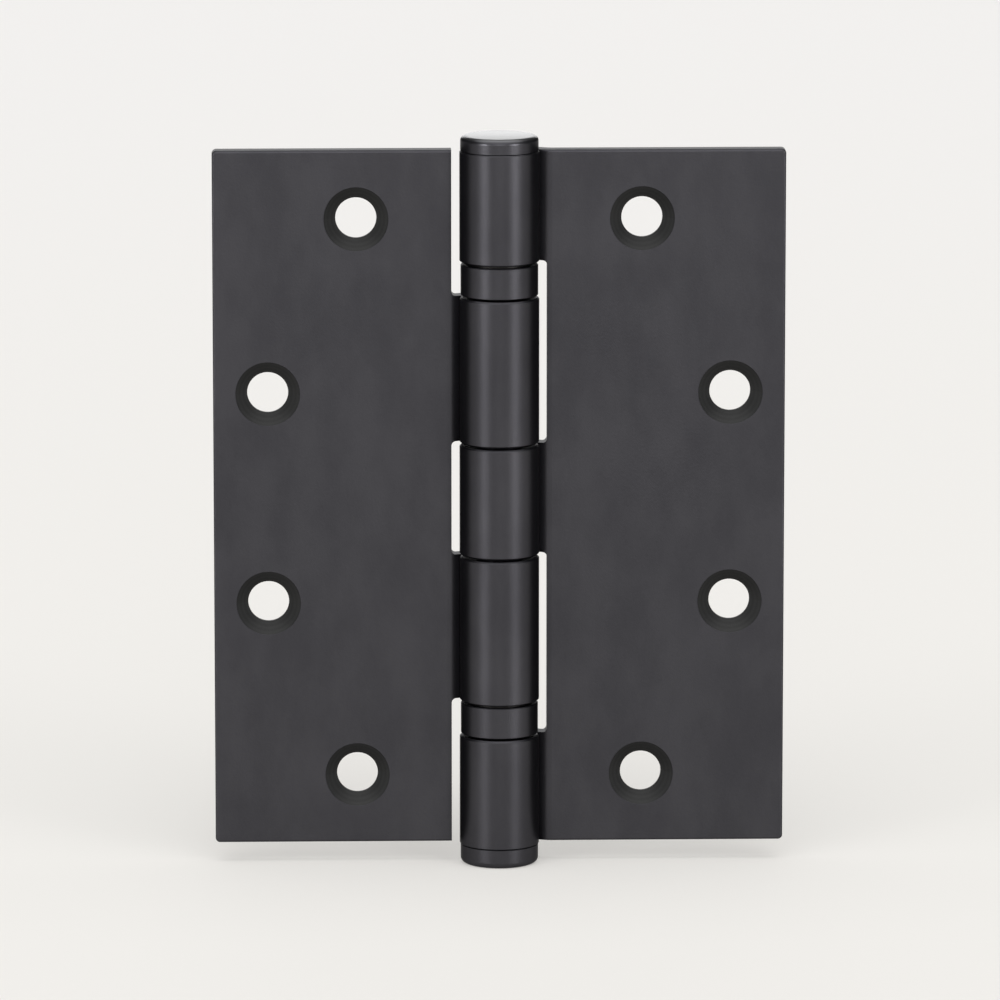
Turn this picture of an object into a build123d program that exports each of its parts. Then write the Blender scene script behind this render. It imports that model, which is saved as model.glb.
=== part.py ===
from build123d import *
from math import acos, asin, atan2, cos, floor, hypot, pi, radians, sin, sqrt, tan
import os

# Five-knuckle butt hinge with two ball thrust bearings, shown open flat.
# The pin axis is Z and the origin is on it, halfway between the ends of the two tips.
# The countersunk faces look towards -Y. The frame leaf lies on +X and the door leaf on -X.
# All lengths are in millimetres and all angles in degrees.

# Leaves
leaf_height = 125.0
open_width = 101.6
leaf_thickness = 3.0
closed_gap = 1.6
corner_radius = 0.8
face_edge_radius = 0.4

# Barrel
pin_diameter = 8.0
pin_clearance = 0.09
frame_knuckle_length = 19.8
bearing_space = 6.3
knuckle_joint_gap = 0.35
barrel_slot_gap = 1.4
slot_corner_radius = 0.8
curl_seam_gap = 0.2
swage_start = 9.4
swage_radius = 3.0
knuckle_edge_chamfer = 0.3

# Screw holes
screw_hole_diameter = 7.3
countersink_diameter = 11.5
countersink_angle = 90.0
end_hole_inset = 12.3
middle_hole_spacing = 37.8
inner_hole_inset = 25.45
outer_hole_inset = 9.7

# Pin head and plug
pin_head_height = 2.8
plug_head_height = 3.5
tip_inset = 0.15
tip_edge_radius = 1.0
tip_seam_chamfer = 0.15
plug_spigot_length = 6.0
plug_pin_gap = 0.6
pin_end_chamfer = 0.8
pin_rib_count = 20
pin_rib_length = 12.0
pin_rib_width = 0.45
press_clearance = 0.01

# Bearings
shell_inset = 0.2
shell_wall = 0.6
shell_knuckle_gap = 0.35
shell_edge_chamfer = 0.18
lip_thickness = 0.5
lip_reach = 0.5
race_pin_clearance = 0.15
race_shell_clearance = 0.1
race_knuckle_clearance = 0.05
race_edge_chamfer = 0.12
ball_side_clearance = 0.12
ball_race_clearance = 0.05
ball_spacing = 0.2
groove_depth = 0.4

# Sizes that follow from the ones above
pin_radius = pin_diameter / 2
bore_radius = pin_radius + pin_clearance
barrel_radius = bore_radius + leaf_thickness
face_y = closed_gap / 2
back_y = face_y + leaf_thickness
leaf_end_x = open_width / 2
slot_x = barrel_radius + barrel_slot_gap
half_height = leaf_height / 2
tip_radius = barrel_radius - tip_inset
grip_radius = bore_radius - press_clearance

# Heights along the barrel, measured from the middle of the leaves
end_knuckle_low = half_height - frame_knuckle_length
door_knuckle_high = end_knuckle_low - bearing_space
middle_knuckle_high = frame_knuckle_length / 2
door_knuckle_low = middle_knuckle_high + knuckle_joint_gap
bearing_middle = (end_knuckle_low + door_knuckle_high) / 2
leaf_middle = (plug_head_height - pin_head_height) / 2

frame_knuckles = [
    (-half_height, -end_knuckle_low),
    (-middle_knuckle_high, middle_knuckle_high),
    (end_knuckle_low, half_height),
]
door_knuckles = [
    (-door_knuckle_high, -door_knuckle_low),
    (door_knuckle_low, door_knuckle_high),
]

# Bearing sizes, measured from the pin axis and from the middle of the bearing
shell_radius = barrel_radius - shell_inset
shell_bore = shell_radius - shell_wall
shell_half = bearing_space / 2 - shell_knuckle_gap
lip_radius = shell_bore - lip_reach
race_inner = pin_radius + race_pin_clearance
race_outer = shell_bore - race_shell_clearance
race_neck = lip_radius - race_shell_clearance
race_end = bearing_space / 2 - race_knuckle_clearance
race_shoulder = shell_half - lip_thickness - race_shell_clearance
ball_radius = (shell_bore - pin_radius) / 2 - ball_side_clearance
ball_pitch = (shell_bore + pin_radius) / 2
groove_radius = ball_radius + ball_race_clearance
race_face = groove_radius - groove_depth
ball_count = floor(pi / asin((ball_radius + ball_spacing / 2) / ball_pitch))

same_place = 1e-4


def around(centre, radius, angle):
    # A point of a circle in the leaf's section, at an angle in radians
    return (centre[0] + radius * cos(angle), centre[1] + radius * sin(angle))


def leaf_section():
    # One sheet of even thickness: the flat leaf, the swage that slopes back from it, and the curl
    # round the bore, whose square end stops just short of the slope
    pin_axis = (0, 0)
    middle_radius = bore_radius + leaf_thickness / 2
    swage_centre = (swage_start, face_y + leaf_thickness / 2 + swage_radius)
    centre_angle = atan2(swage_centre[1], swage_centre[0])
    curl_start = centre_angle + acos((middle_radius + swage_radius) / hypot(*swage_centre))
    curl_end = curl_start - acos((bore_radius - curl_seam_gap) / barrel_radius)
    swage_end = curl_start + pi
    swage_middle = (swage_end + 3 * pi / 2) / 2
    face_bend = swage_radius + leaf_thickness / 2
    back_bend = swage_radius - leaf_thickness / 2
    with BuildSketch() as section:
        with BuildLine():
            Line((leaf_end_x, face_y), (swage_start, face_y))
            ThreePointArc(
                (swage_start, face_y),
                around(swage_centre, face_bend, swage_middle),
                around(swage_centre, face_bend, swage_end),
            )
            Line(
                around(swage_centre, face_bend, swage_end),
                around(pin_axis, bore_radius, curl_start),
            )
            ThreePointArc(
                around(pin_axis, bore_radius, curl_start),
                (-bore_radius, 0),
                around(pin_axis, bore_radius, curl_end),
            )
            Line(
                around(pin_axis, bore_radius, curl_end),
                around(pin_axis, barrel_radius, curl_end),
            )
            ThreePointArc(
                around(pin_axis, barrel_radius, curl_end),
                (-barrel_radius, 0),
                around(pin_axis, barrel_radius, curl_start),
            )
            Line(
                around(pin_axis, barrel_radius, curl_start),
                around(swage_centre, back_bend, swage_end),
            )
            ThreePointArc(
                around(swage_centre, back_bend, swage_end),
                around(swage_centre, back_bend, swage_middle),
                (swage_start, back_y),
            )
            Line((swage_start, back_y), (leaf_end_x, back_y))
            Line((leaf_end_x, back_y), (leaf_end_x, face_y))
        make_face()
    return section.sketch


def spaces_between(knuckles):
    # The spaces beside and between one leaf's knuckles, as (low, high) heights
    edges = [-leaf_height] + [height for knuckle in knuckles for height in knuckle] + [leaf_height]
    spaces = zip(edges[0::2], edges[1::2])
    return [(low, high) for low, high in spaces if high > -half_height and low < half_height]


def slot_cutter(low, high):
    # Clears the other leaf's knuckle, with round corners where the flat leaf starts
    depth = slot_x + 2 * barrel_radius
    cutter = Pos(slot_x - depth / 2, 0, (low + high) / 2) * Box(
        depth, 4 * barrel_radius, high - low
    )
    corners = cutter.edges().filter_by(Axis.Y).group_by(Axis.X)[-1]
    return fillet(corners, slot_corner_radius)


def screw_positions():
    # The end holes stand near the barrel and the middle holes near the free edge
    end_z = half_height - end_hole_inset
    middle_z = middle_hole_spacing / 2
    inner_x = leaf_end_x - inner_hole_inset
    outer_x = leaf_end_x - outer_hole_inset
    return [(inner_x, end_z), (outer_x, middle_z), (outer_x, -middle_z), (inner_x, -end_z)]


def screw_cutter():
    # The shape of the hole: a cone that narrows from the leaf's face, then a straight hole
    hole = screw_hole_diameter / 2
    rim = countersink_diameter / 2
    slope = tan(radians(countersink_angle / 2))
    overrun = leaf_thickness / 2
    profile = Polyline(
        (0, -overrun),
        (rim + overrun * slope, -overrun),
        (hole, (rim - hole) / slope),
        (hole, leaf_thickness + overrun),
        (0, leaf_thickness + overrun),
        close=True,
    )
    return revolve(make_face(Plane.XY * profile), Axis.Y)


def is_rim(edge):
    # An end edge of a curl, on the outside of the barrel
    flat = edge.bounding_box().size.Z < same_place
    round_edge = edge.geom_type == GeomType.CIRCLE
    return flat and round_edge and abs(edge.radius - barrel_radius) < same_place


def is_inner_rim(edge):
    return is_rim(edge) and abs(edge.center().Z) < half_height - same_place


def is_barrel_end(edge):
    return is_rim(edge) and abs(edge.center().Z) > half_height - same_place


def is_face_outline(edge):
    # An edge of the flat leaf's outline, on the countersunk face
    box = edge.bounding_box()
    level = box.size.Y < same_place and abs(box.min.Y - face_y) < same_place
    reaches_end = box.max.X > leaf_end_x - corner_radius - same_place
    return level and reaches_end


def leaf(knuckles):
    # A leaf with its knuckles, lying on +X
    body = Pos(0, 0, -half_height) * extrude(leaf_section(), leaf_height)
    for low, high in spaces_between(knuckles):
        body -= slot_cutter(low, high)
    corners = body.edges().filter_by(Axis.Y).group_by(Axis.X)[-1]
    body = fillet(corners, corner_radius)
    body = chamfer(body.edges().filter_by(is_inner_rim), knuckle_edge_chamfer)
    barrel_ends = body.edges().filter_by(is_barrel_end)
    if barrel_ends:
        body = chamfer(barrel_ends, tip_seam_chamfer)
    body = fillet(body.edges().filter_by(is_face_outline), face_edge_radius)
    for x, z in screw_positions():
        body -= Pos(x, face_y, z) * screw_cutter()
    return body


def frame_leaf():
    return leaf(frame_knuckles)


def door_leaf():
    return mirror(leaf(door_knuckles), Plane.YZ)


def tip_profile(head_height, stem_radius, stem_end):
    # Half section of a button head on top of the barrel, with its stem in the bore
    top = half_height + head_height
    round_off = tip_edge_radius * (1 - sqrt(0.5))
    with BuildLine() as outline:
        Polyline(
            (0, stem_end),
            (stem_radius - pin_end_chamfer, stem_end),
            (stem_radius, stem_end + pin_end_chamfer),
            (stem_radius, half_height),
            (tip_radius - tip_seam_chamfer, half_height),
            (tip_radius, half_height + tip_seam_chamfer),
            (tip_radius, top - tip_edge_radius),
        )
        ThreePointArc(
            (tip_radius, top - tip_edge_radius),
            (tip_radius - round_off, top - round_off),
            (tip_radius - tip_edge_radius, top),
        )
        Polyline((tip_radius - tip_edge_radius, top), (0, top), (0, stem_end))
    return make_face(Plane.XZ * outline.line)


def hinge_pin():
    # Pin with a button head, and ribs under the head that grip the top knuckle
    stem_end = plug_spigot_length + plug_pin_gap - half_height
    pin = revolve(tip_profile(pin_head_height, pin_radius, stem_end), Axis.Z)
    middle = Pos(0, 0, half_height - pin_rib_length / 2)
    bar = Pos(grip_radius / 2, 0, 0) * Box(grip_radius, pin_rib_width, pin_rib_length)
    bars = [middle * Rot(0, 0, 360 * i / pin_rib_count) * bar for i in range(pin_rib_count)]
    ribs = (Part() + bars) & (middle * Cylinder(grip_radius, pin_rib_length))
    return pin + ribs


def bottom_plug():
    # Matching button head with a short spigot pressed into the bottom knuckle
    profile = tip_profile(plug_head_height, grip_radius, half_height - plug_spigot_length)
    return mirror(revolve(profile, Axis.Z), Plane.XY)


def bearing_shell():
    # Outer case, rolled in at both ends over the shoulders of the races
    lip_middle = shell_half - lip_thickness / 2
    with BuildSketch(Plane.XZ) as section:
        with Locations(((shell_bore + shell_radius) / 2, 0)):
            Rectangle(shell_wall, 2 * shell_half)
        with Locations(
            ((lip_radius + shell_radius) / 2, lip_middle),
            ((lip_radius + shell_radius) / 2, -lip_middle),
        ):
            Rectangle(shell_radius - lip_radius, lip_thickness)
        chamfer(section.vertices().group_by(Axis.X)[-1], shell_edge_chamfer)
    return revolve(section.sketch, Axis.Z)


def bearing_race():
    # Race above the balls: a neck that carries the knuckle, a shoulder under the lip, a groove
    with BuildSketch(Plane.XZ) as section:
        with BuildLine():
            Polyline(
                (race_inner, race_face),
                (race_outer, race_face),
                (race_outer, race_shoulder),
                (race_neck, race_shoulder),
                (race_neck, race_end - race_edge_chamfer),
                (race_neck - race_edge_chamfer, race_end),
                (race_inner + race_edge_chamfer, race_end),
                (race_inner, race_end - race_edge_chamfer),
                close=True,
            )
        make_face()
        with Locations((ball_pitch, 0)):
            Circle(groove_radius, mode=Mode.SUBTRACT)
    return revolve(section.sketch, Axis.Z)


def bearing(name, middle):
    # One bearing round the pin, as named pieces
    ball = Pos(ball_pitch, 0, 0) * Sphere(ball_radius)
    pieces = {
        f"{name}_bearing_shell": bearing_shell(),
        f"{name}_bearing_upper_race": bearing_race(),
        f"{name}_bearing_lower_race": mirror(bearing_race(), Plane.XY),
    }
    for i in range(ball_count):
        pieces[f"{name}_bearing_ball_{i + 1:02d}"] = Rot(0, 0, 360 * i / ball_count) * ball
    return {node: Pos(0, 0, middle) * piece for node, piece in pieces.items()}


nodes = {
    "frame_leaf": frame_leaf(),
    "door_leaf": door_leaf(),
    "hinge_pin": hinge_pin(),
    "bottom_plug": bottom_plug(),
}
nodes.update(bearing("upper", bearing_middle))
nodes.update(bearing("lower", -bearing_middle))

os.makedirs("parts", exist_ok=True)
for node, piece in nodes.items():
    export_step(Pos(0, 0, leaf_middle) * piece, f"parts/{node}.step")
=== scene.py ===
from math import cos, radians, sin

import bmesh
import bpy
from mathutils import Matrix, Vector


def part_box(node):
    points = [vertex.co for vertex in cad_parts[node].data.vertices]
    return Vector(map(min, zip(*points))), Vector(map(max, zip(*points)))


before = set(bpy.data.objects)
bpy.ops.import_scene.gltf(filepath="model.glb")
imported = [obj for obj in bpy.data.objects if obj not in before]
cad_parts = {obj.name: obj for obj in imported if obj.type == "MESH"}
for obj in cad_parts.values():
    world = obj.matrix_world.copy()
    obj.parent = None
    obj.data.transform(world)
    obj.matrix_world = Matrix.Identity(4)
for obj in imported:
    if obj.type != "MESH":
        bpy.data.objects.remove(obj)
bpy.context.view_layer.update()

# Ball bearing butt hinge, open flat, with a matt black coat.
# The pin axis is Z and the countersunk faces look towards -Y.
# The floor, lamps and camera are in metres, the finishes of the hinge in millimetres.

metres = 1.0
millimetres = 1000.0

leafNodes = ["frame_leaf", "door_leaf"]
tipNodes = ["hinge_pin", "bottom_plug"]
shellNodes = ["upper_bearing_shell", "lower_bearing_shell"]
raceNodes = [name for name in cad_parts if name.endswith("_race")]
ballNodes = [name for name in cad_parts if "_ball_" in name]


class Term:
    # A socket that takes part in sums; each operator adds one Math node
    def __init__(self, tree, socket):
        self.tree = tree
        self.socket = socket

    def joined(self, operation, first, second):
        made = self.tree.nodes.new("ShaderNodeMath")
        made.operation = operation
        for slot, value in zip(made.inputs, (first, second)):
            plug(self.tree, slot, value)
        return Term(self.tree, made.outputs[0])

    def __add__(self, other):
        return self.joined("ADD", self, other)

    def __radd__(self, other):
        return self.joined("ADD", other, self)

    def __sub__(self, other):
        return self.joined("SUBTRACT", self, other)

    def __rsub__(self, other):
        return self.joined("SUBTRACT", other, self)

    def __mul__(self, other):
        return self.joined("MULTIPLY", self, other)

    def __rmul__(self, other):
        return self.joined("MULTIPLY", other, self)


def plug(tree, slot, value):
    # Links a term to a socket, or writes a plain value on it; a colour gets full alpha
    if isinstance(value, Term):
        tree.links.new(value.socket, slot)
        return
    isColour = hasattr(slot.default_value, "__len__") and len(slot.default_value) == 4
    slot.default_value = (*value, 1.0) if isColour else value


class Finish:
    # One material, with the few node shapes that this hinge needs
    def __init__(self, name):
        self.material = bpy.data.materials.new(name)
        self.material.use_nodes = True
        self.tree = self.material.node_tree
        self.tree.nodes.clear()

    def node(self, kind, settings=None, sockets=None, output=0):
        made = self.tree.nodes.new(kind)
        for name, value in (settings or {}).items():
            setattr(made, name, value)
        for name, value in (sockets or {}).items():
            plug(self.tree, made.inputs[name], value)
        return Term(self.tree, made.outputs[output]) if made.outputs else None

    def outputs(self, kind, names, sockets=None):
        # Several outputs of one node
        made = self.node(kind, None, sockets).socket.node
        return [Term(self.tree, made.outputs[name]) for name in names]

    def vector(self, operation, sockets, output="Vector"):
        return self.node("ShaderNodeVectorMath", {"operation": operation}, sockets, output)

    def place(self, unit):
        # Place on the object in a unit; each body at rest stands in the row frame
        place = self.node("ShaderNodeTexCoord", output="Object")
        return self.vector("SCALE", {0: place, "Scale": unit})

    def axes(self, place):
        return self.outputs("ShaderNodeSeparateXYZ", ("X", "Y", "Z"), {0: place})

    def noise(self, place, scale, detail, roughness):
        sockets = {"Vector": place, "Scale": scale, "Detail": detail, "Roughness": roughness}
        return self.node("ShaderNodeTexNoise", {"noise_dimensions": "3D"}, sockets)

    def ease(self, value, low, high, start=0.0, end=1.0):
        # Goes smoothly from start at low to end at high
        sockets = {"Value": value, "From Min": low, "From Max": high}
        sockets.update({"To Min": start, "To Max": end})
        return self.node("ShaderNodeMapRange", {"interpolation_type": "SMOOTHSTEP"}, sockets)

    def mixed(self, factor, first, second):
        # The Mix node's colours are its inputs 6 and 7 and its output 2
        sockets = {0: factor, 6: first, 7: second}
        return self.node("ShaderNodeMix", {"data_type": "RGBA"}, sockets, output=2)

    def bump(self, height, depth):
        sockets = {"Height": height, "Strength": 1.0, "Distance": depth}
        return self.node("ShaderNodeBump", None, sockets)

    def holeDistance(self, place, holes):
        # Distance in the plane of the leaves from the axis of the nearest screw hole
        level = self.vector("SUBTRACT", {0: place, 1: (0, 0, holes["middle"])})
        folded = self.vector("ABSOLUTE", {0: level})
        flat = self.vector("MULTIPLY", {0: folded, 1: (1, 0, 1)})
        nearest = None
        for across, height in holes["centres"]:
            away = self.vector("DISTANCE", {0: flat, 1: (across, 0, height)}, "Value")
            nearest = away if nearest is None else away.joined("MINIMUM", away, nearest)
        return nearest

    def surface(self, sockets):
        shader = self.node("ShaderNodeBsdfPrincipled", None, sockets)
        self.node("ShaderNodeOutputMaterial", None, {"Surface": shader})
        return self.material


def dress(nodes, material):
    for name in nodes:
        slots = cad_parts[name].data.materials
        slots.clear()
        slots.append(material)


# Coat of the leaves, tips and bearing cases: pale clouds that run upright, and a fine grain

coatLook = {
    "colour": (0.0422, 0.0414, 0.0464),
    "paleColour": (0.0540, 0.0530, 0.0585),
    "cloudSize": 0.11,
    "cloudShape": (1.0, 1.0, 0.5),
    "cloudDetail": 4.0,
    "cloudLow": 0.3,
    "cloudHigh": 0.7,
    "cloudShare": 0.75,
    "grainSize": 2.2,
    "grainDetail": 2.0,
    "grainDepth": 0.000012,
    "noiseRoughness": 0.6,
    "metallic": 1.0,
    "roughness": 0.33,
    "roughnessSpread": 0.06,
    "edgeTint": (0.5, 0.5, 0.5),
}

# Both leaves have their holes at these places, above and below the middle of the leaves
holeLook = {
    "middle": 0.35,
    "centres": [(25.35, 50.2), (41.1, 18.9)],
    "rimRadius": 5.75,
    "depth": 3.7,
    "rimSoftness": 0.1,
    # The cone colours are darker than the coat: turned rings, with painted shade in the
    # countersinks
    "colour": (0.0355, 0.0358, 0.0355),
    "paleColour": (0.0500, 0.0498, 0.0500),
    "ringsPerMillimetre": 1.4,
    "ringShare": 0.5,
    "roughness": 0.55,
}

# The top of the pin gets a lighter colour as a painted highlight, and a smoother clear coat that
# shines, most of all towards the back. The painted highlight and the coat start and are full at
# these depths below the top of the pin.
paintedTopLightLook = {
    "startDepth": 0.6,
    "fullDepth": 0.02,
    "front": -7.0,
    "back": 4.0,
    "frontShine": 0.52,
    "backShine": 0.88,
    "roughness": 0.2,
    "colour": (0.13, 0.13, 0.135),
}


def coatFinish(name, look, holes=None, paintedTopLight=None):
    finish = Finish(name)
    place = finish.place(millimetres)
    upright = finish.vector("MULTIPLY", {0: place, 1: look["cloudShape"]})
    clouds = finish.noise(
        upright, look["cloudSize"], look["cloudDetail"], look["noiseRoughness"]
    )
    grain = finish.noise(place, look["grainSize"], look["grainDetail"], look["noiseRoughness"])
    blotch = finish.ease(clouds, look["cloudLow"], look["cloudHigh"])
    pale = look["cloudShare"] * blotch + (1 - look["cloudShare"]) * grain
    colour = finish.mixed(pale, look["colour"], look["paleColour"])
    roughness = look["roughness"] + look["roughnessSpread"] * (grain - 0.5)
    sockets = {
        "Metallic": look["metallic"],
        "Specular Tint": look["edgeTint"],
        "Normal": finish.bump(grain, look["grainDepth"]),
    }
    if holes:
        # The cones are rougher than the leaf, show turned rings, and are coloured darker than
        # the leaf as painted shade in the countersinks
        depth = finish.axes(place)[1]
        away = finish.holeDistance(place, holes)
        rim, back, softness = holes["rimRadius"], holes["depth"], holes["rimSoftness"]
        cone = finish.ease(away, rim - softness, rim, 1.0, 0.0)
        cone = cone * finish.ease(depth, back - softness, back, 1.0, 0.0)
        rings = away.joined("PINGPONG", away * (2 * holes["ringsPerMillimetre"]), 1.0)
        turned = holes["ringShare"] * rings + (1 - holes["ringShare"]) * clouds
        ringsAndPaintedShade = finish.mixed(turned, holes["colour"], holes["paleColour"])
        colour = finish.mixed(cone, colour, ringsAndPaintedShade)
        roughness = roughness + (holes["roughness"] - look["roughness"]) * cone
    if paintedTopLight:
        depth, height = finish.axes(place)[1:]
        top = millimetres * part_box("hinge_pin")[1].z
        topCoatAndPaintedLight = finish.ease(height, top - paintedTopLight["startDepth"], top - paintedTopLight["fullDepth"])
        shine = finish.ease(
            depth, paintedTopLight["front"], paintedTopLight["back"], paintedTopLight["frontShine"], paintedTopLight["backShine"]
        )
        # Painted highlight: the top of the pin is given a lighter colour
        colour = finish.mixed(topCoatAndPaintedLight, colour, paintedTopLight["colour"])
        sockets["Coat Weight"] = topCoatAndPaintedLight * shine
        sockets["Coat Roughness"] = paintedTopLight["roughness"]
    sockets["Base Color"] = colour
    sockets["Roughness"] = roughness
    return finish.surface(sockets)


dress(leafNodes, coatFinish("leafCoat", coatLook, holes=holeLook))
dress(tipNodes, coatFinish("tipCoat", coatLook, paintedTopLight=paintedTopLightLook))
dress(shellNodes, coatFinish("caseCoat", coatLook))
print("coated pieces dressed")


# Bearing steel. The races are coloured dark as painted shade at the seams, so that their necks
# don't show as bright lines there.

paintedShadeRaceLook = {
    "colour": (0.030, 0.029, 0.028),
    "roughness": 0.42,
}

ballLook = {
    "colour": (0.62, 0.62, 0.63),
    "roughness": 0.12,
}

smearLook = {
    "size": 0.35,
    "detail": 3.0,
    "noiseRoughness": 0.6,
    "shade": 0.8,
    "roughnessSpread": 0.1,
}


def steelFinish(name, look, smears):
    finish = Finish(name)
    place = finish.place(millimetres)
    smear = finish.noise(place, smears["size"], smears["detail"], smears["noiseRoughness"])
    dark = tuple(smears["shade"] * part for part in look["colour"])
    return finish.surface({
        "Base Color": finish.mixed(smear, dark, look["colour"]),
        "Metallic": 1.0,
        "Roughness": look["roughness"] + smears["roughnessSpread"] * (smear - 0.5),
    })


dress(raceNodes, steelFinish("raceSteel", paintedShadeRaceLook, smearLook))
dress(ballNodes, steelFinish("ballSteel", ballLook, smearLook))
print("bearing steel dressed")


# Floor, just below the bottom tip

floorLook = {
    "radius": 30.0,
    "segments": 96,
    "gap": 0.00002,
    # Painted shade: the floor is coloured slightly darker and warmer near the hinge and lighter
    # far away
    "colour": (0.806, 0.790, 0.760),
    "paintedLightFarColour": (0.812, 0.799, 0.785),
    "farDistance": 1.3,
    "glow": 0.45,
}


def floorFinish(look):
    # Part of the pale colour is shown as it is, so that the shadow stays light
    finish = Finish("floorPaper")
    rays = ("Is Camera Ray", "Is Glossy Ray", "Is Transmission Ray")
    camera, glossy, through = finish.outputs("ShaderNodeLightPath", rays)
    seen = camera + glossy + through
    away = finish.vector("LENGTH", {0: finish.place(metres)}, "Value")
    far = finish.ease(away, 0.0, look["farDistance"])
    colour = finish.mixed(far, look["colour"], look["paintedLightFarColour"])
    lit = finish.node("ShaderNodeBsdfDiffuse", None, {"Color": colour})
    shown = finish.node("ShaderNodeEmission", None, {"Color": colour, "Strength": 1.0})
    mixed = finish.node("ShaderNodeMixShader", None, {0: look["glow"] * seen, 1: lit, 2: shown})
    finish.node("ShaderNodeOutputMaterial", None, {"Surface": mixed})
    return finish.material


def addFloor(look):
    mesh = bpy.data.meshes.new("floor")
    shape = bmesh.new()
    bmesh.ops.create_circle(
        shape, cap_ends=True, segments=look["segments"], radius=look["radius"]
    )
    shape.to_mesh(mesh)
    shape.free()
    floor = bpy.data.objects.new("floor", mesh)
    floor.location.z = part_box("bottom_plug")[0].z - look["gap"]
    mesh.materials.append(floorFinish(look))
    bpy.context.scene.collection.objects.link(floor)


addFloor(floorLook)
print("floor laid")


# Light. Angles are in degrees, and the spread is how wide a lamp looks from the hinge.

studioLook = {
    "worldColour": (1.0, 1.0, 1.0),
    "worldStrength": 0.15,
    "lamps": {
        "topSoftbox": {"azimuth": 0, "elevation": 71, "spread": 94, "strength": 2.9},
        "frontSoftbox": {"azimuth": 0, "elevation": 6, "spread": 34, "strength": 0.88},
        "leftSoftbox": {"azimuth": -45, "elevation": 3, "spread": 20, "strength": 1.9},
        "rightSoftbox": {"azimuth": 45, "elevation": 3, "spread": 20, "strength": 1.95},
        "backSoftbox": {"azimuth": 180, "elevation": 12, "spread": 36, "strength": 0.5},
    },
}


def outward(azimuth, elevation):
    # Unit vector from the hinge towards a lamp or camera; azimuth 0 is in front
    side, height = radians(azimuth), radians(elevation)
    return Vector((sin(side) * cos(height), -cos(side) * cos(height), sin(height)))


def addLamp(name, lamp):
    data = bpy.data.lights.new(name, "SUN")
    data.energy = lamp["strength"]
    data.angle = radians(lamp["spread"])
    towards = outward(lamp["azimuth"], lamp["elevation"])
    sun = bpy.data.objects.new(name, data)
    sun.rotation_euler = towards.to_track_quat("Z", "Y").to_euler()
    bpy.context.scene.collection.objects.link(sun)


def addStudio(look):
    world = bpy.data.worlds.new("studio")
    world.use_nodes = True
    background = world.node_tree.nodes["Background"]
    background.inputs["Color"].default_value = (*look["worldColour"], 1.0)
    background.inputs["Strength"].default_value = look["worldStrength"]
    bpy.context.scene.world = world
    for name, lamp in look["lamps"].items():
        addLamp(name, lamp)


addStudio(studioLook)
print("lamps set")


# Camera. Angles are in degrees, and the lens and sensor in millimetres.

cameraLook = {
    "azimuth": -1.57,
    "elevation": 10.44,
    "distance": 1.5149,
    "lens": 306.6,
    "sensorWidth": 36.0,
    "aimRight": 0.00011,
    "aimUp": 0.00013,
    "clipStart": 0.01,
    "clipEnd": 100.0,
}


def addCamera(look):
    back = outward(look["azimuth"], look["elevation"])
    right = Vector((0, 0, 1)).cross(back).normalized()
    up = back.cross(right)
    data = bpy.data.cameras.new("camera")
    data.sensor_width = look["sensorWidth"]
    data.lens = look["lens"]
    data.clip_start = look["clipStart"]
    data.clip_end = look["clipEnd"]
    camera = bpy.data.objects.new("camera", data)
    camera.location = back * look["distance"] + right * look["aimRight"] + up * look["aimUp"]
    camera.rotation_euler = back.to_track_quat("Z", "Y").to_euler()
    bpy.context.scene.collection.objects.link(camera)
    bpy.context.scene.camera = camera


addCamera(cameraLook)
bpy.context.scene.view_settings.view_transform = "Standard"
print("camera set")
